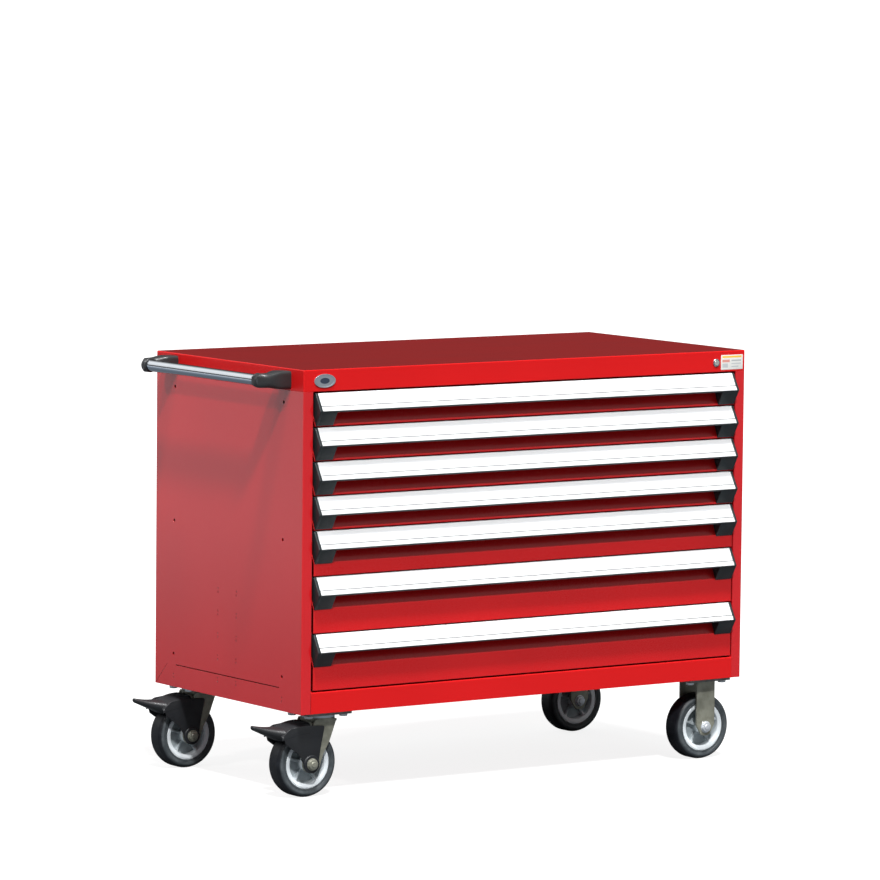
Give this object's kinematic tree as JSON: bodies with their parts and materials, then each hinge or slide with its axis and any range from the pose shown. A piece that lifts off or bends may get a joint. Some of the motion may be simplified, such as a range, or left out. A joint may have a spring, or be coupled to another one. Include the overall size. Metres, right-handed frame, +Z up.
{
  "type": "mobile workbench with drawers",
  "caption": "Wheeled steel cabinet workbench with a flat top, full-width drawers with angled aluminium pulls, a push handle at one end, and swivel and rigid casters.",
  "frame": {"origin": "on the floor, under the centre of the whole object's bounding box", "axes": "+X to the right seen from the drawer side, along the cabinet's width; +Y from the drawer fronts to the back; +Z up"},
  "size_m": [1.3098, 0.631, 0.9525],
  "materials": {
    "housing_paint": "satin powder coat",
    "top_paint": "satin powder coat",
    "drawer_paint": "satin powder coat",
    "slide_zinc": "zinc plated",
    "bolt_steel": "zinc plated",
    "handle_tube": "bright",
    "black_plastic": "moulded, fine grain",
    "lock_nickel": "satin nickel",
    "badge_silver": "brushed",
    "caster_steel": "dull zinc",
    "pull_aluminium": "bright anodised",
    "wheel_aluminium": "cast and turned",
    "tyre_rubber": "moulded"
  },
  "bodies": {
    "housing": {"side_panel_left": "housing_paint", "side_panel_right": "housing_paint", "back_panel": "housing_paint", "bottom_rail": "housing_paint", "floor_pan": "housing_paint", "top_cover": "top_paint", "slide_posts": "slide_zinc", "cabinet_rails": "slide_zinc", "housing_bolts": "bolt_steel", "push_handle_tube": "handle_tube", "push_handle_brackets": "black_plastic", "lock_housing": "lock_nickel", "badge_plate": "badge_silver", "caster_plates": "caster_steel", "rigid_forks": "caster_steel", "rigid_axles": "bolt_steel"},
    "lock_cylinder": {"lock_cylinder": "lock_nickel"},
    "lock_bar": {"lock_bar": "slide_zinc"},
    "drawer_1": {"drawer_tray_1": "drawer_paint", "drawer_handle_1": "pull_aluminium", "handle_caps_1": "black_plastic"},
    "carriage_1": {"slide_carriage_1": "slide_zinc"},
    "drawer_2": {"drawer_tray_2": "drawer_paint", "drawer_handle_2": "pull_aluminium", "handle_caps_2": "black_plastic"},
    "carriage_2": {"slide_carriage_2": "slide_zinc"},
    "drawer_3": {"drawer_tray_3": "drawer_paint", "drawer_handle_3": "pull_aluminium", "handle_caps_3": "black_plastic"},
    "carriage_3": {"slide_carriage_3": "slide_zinc"},
    "drawer_4": {"drawer_tray_4": "drawer_paint", "drawer_handle_4": "pull_aluminium", "handle_caps_4": "black_plastic"},
    "carriage_4": {"slide_carriage_4": "slide_zinc"},
    "drawer_5": {"drawer_tray_5": "drawer_paint", "drawer_handle_5": "pull_aluminium", "handle_caps_5": "black_plastic"},
    "carriage_5": {"slide_carriage_5": "slide_zinc"},
    "drawer_6": {"drawer_tray_6": "drawer_paint", "drawer_handle_6": "pull_aluminium", "handle_caps_6": "black_plastic"},
    "carriage_6": {"slide_carriage_6": "slide_zinc"},
    "drawer_7": {"drawer_tray_7": "drawer_paint", "drawer_handle_7": "pull_aluminium", "handle_caps_7": "black_plastic"},
    "carriage_7": {"slide_carriage_7": "slide_zinc"},
    "front_left_wheel": {"front_left_wheel_core": "wheel_aluminium", "front_left_tyre": "tyre_rubber"},
    "front_left_swivel": {"front_left_fork": "caster_steel", "front_left_axle": "bolt_steel"},
    "front_left_brake": {"front_left_pedal": "black_plastic"},
    "front_right_wheel": {"front_right_wheel_core": "wheel_aluminium", "front_right_tyre": "tyre_rubber"},
    "rear_left_wheel": {"rear_left_wheel_core": "wheel_aluminium", "rear_left_tyre": "tyre_rubber"},
    "rear_left_swivel": {"rear_left_fork": "caster_steel", "rear_left_axle": "bolt_steel"},
    "rear_left_brake": {"rear_left_pedal": "black_plastic"},
    "rear_right_wheel": {"rear_right_wheel_core": "wheel_aluminium", "rear_right_tyre": "tyre_rubber"}
  },
  "joints": [
    {"name": "lock_turn", "type": "hinge", "parent": "housing", "child": "lock_cylinder", "pos_m": [0.57145, -0.29407, 0.9257], "axis": [0, -1, 0], "range_deg": [0, 90]},
    {"name": "bar_lift", "type": "slide", "parent": "housing", "child": "lock_bar", "axis": [0, 0, 1], "range_m": [0, 0.008]},
    {"name": "drawer_1_slide", "type": "slide", "parent": "housing", "child": "drawer_1", "axis": [0, -1, 0], "range_m": [0, 0.54]},
    {"name": "carriage_1_slide", "type": "slide", "parent": "housing", "child": "carriage_1", "axis": [0, -1, 0], "range_m": [0, 0.27]},
    {"name": "drawer_2_slide", "type": "slide", "parent": "housing", "child": "drawer_2", "axis": [0, -1, 0], "range_m": [0, 0.54]},
    {"name": "carriage_2_slide", "type": "slide", "parent": "housing", "child": "carriage_2", "axis": [0, -1, 0], "range_m": [0, 0.27]},
    {"name": "drawer_3_slide", "type": "slide", "parent": "housing", "child": "drawer_3", "axis": [0, -1, 0], "range_m": [0, 0.54]},
    {"name": "carriage_3_slide", "type": "slide", "parent": "housing", "child": "carriage_3", "axis": [0, -1, 0], "range_m": [0, 0.27]},
    {"name": "drawer_4_slide", "type": "slide", "parent": "housing", "child": "drawer_4", "axis": [0, -1, 0], "range_m": [0, 0.54]},
    {"name": "carriage_4_slide", "type": "slide", "parent": "housing", "child": "carriage_4", "axis": [0, -1, 0], "range_m": [0, 0.27]},
    {"name": "drawer_5_slide", "type": "slide", "parent": "housing", "child": "drawer_5", "axis": [0, -1, 0], "range_m": [0, 0.54]},
    {"name": "carriage_5_slide", "type": "slide", "parent": "housing", "child": "carriage_5", "axis": [0, -1, 0], "range_m": [0, 0.27]},
    {"name": "drawer_6_slide", "type": "slide", "parent": "housing", "child": "drawer_6", "axis": [0, -1, 0], "range_m": [0, 0.54]},
    {"name": "carriage_6_slide", "type": "slide", "parent": "housing", "child": "carriage_6", "axis": [0, -1, 0], "range_m": [0, 0.27]},
    {"name": "drawer_7_slide", "type": "slide", "parent": "housing", "child": "drawer_7", "axis": [0, -1, 0], "range_m": [0, 0.54]},
    {"name": "carriage_7_slide", "type": "slide", "parent": "housing", "child": "carriage_7", "axis": [0, -1, 0], "range_m": [0, 0.27]},
    {"name": "front_left_swivel_turn", "type": "hinge", "parent": "housing", "child": "front_left_swivel", "pos_m": [-0.48305, -0.23691, 0.1905], "axis": [0, 0, 1], "continuous": true},
    {"name": "front_left_brake_press", "type": "hinge", "parent": "front_left_swivel", "child": "front_left_brake", "pos_m": [-0.52365, -0.23691, 0.0762], "axis": [0, -1, 0], "range_deg": [0, 10]},
    {"name": "front_left_wheel_spin", "type": "hinge", "parent": "front_left_swivel", "child": "front_left_wheel", "pos_m": [-0.52365, -0.23691, 0.0762], "axis": [0, 1, 0], "continuous": true},
    {"name": "front_right_wheel_spin", "type": "hinge", "parent": "housing", "child": "front_right_wheel", "pos_m": [0.57355, -0.23691, 0.0762], "axis": [0, 1, 0], "continuous": true},
    {"name": "rear_left_swivel_turn", "type": "hinge", "parent": "housing", "child": "rear_left_swivel", "pos_m": [-0.48305, 0.25838, 0.1905], "axis": [0, 0, 1], "continuous": true},
    {"name": "rear_left_brake_press", "type": "hinge", "parent": "rear_left_swivel", "child": "rear_left_brake", "pos_m": [-0.52365, 0.25838, 0.0762], "axis": [0, -1, 0], "range_deg": [0, 10]},
    {"name": "rear_left_wheel_spin", "type": "hinge", "parent": "rear_left_swivel", "child": "rear_left_wheel", "pos_m": [-0.52365, 0.25838, 0.0762], "axis": [0, 1, 0], "continuous": true},
    {"name": "rear_right_wheel_spin", "type": "hinge", "parent": "housing", "child": "rear_right_wheel", "pos_m": [0.57355, 0.25838, 0.0762], "axis": [0, 1, 0], "continuous": true}
  ],
  "couplings": [
    {"joint": "lock_turn", "follows": "bar_lift", "rad_per_m": 196.35},
    {"joint": "carriage_1_slide", "follows": "drawer_1_slide", "ratio": 0.5},
    {"joint": "carriage_2_slide", "follows": "drawer_2_slide", "ratio": 0.5},
    {"joint": "carriage_3_slide", "follows": "drawer_3_slide", "ratio": 0.5},
    {"joint": "carriage_4_slide", "follows": "drawer_4_slide", "ratio": 0.5},
    {"joint": "carriage_5_slide", "follows": "drawer_5_slide", "ratio": 0.5},
    {"joint": "carriage_6_slide", "follows": "drawer_6_slide", "ratio": 0.5},
    {"joint": "carriage_7_slide", "follows": "drawer_7_slide", "ratio": 0.5}
  ]
}
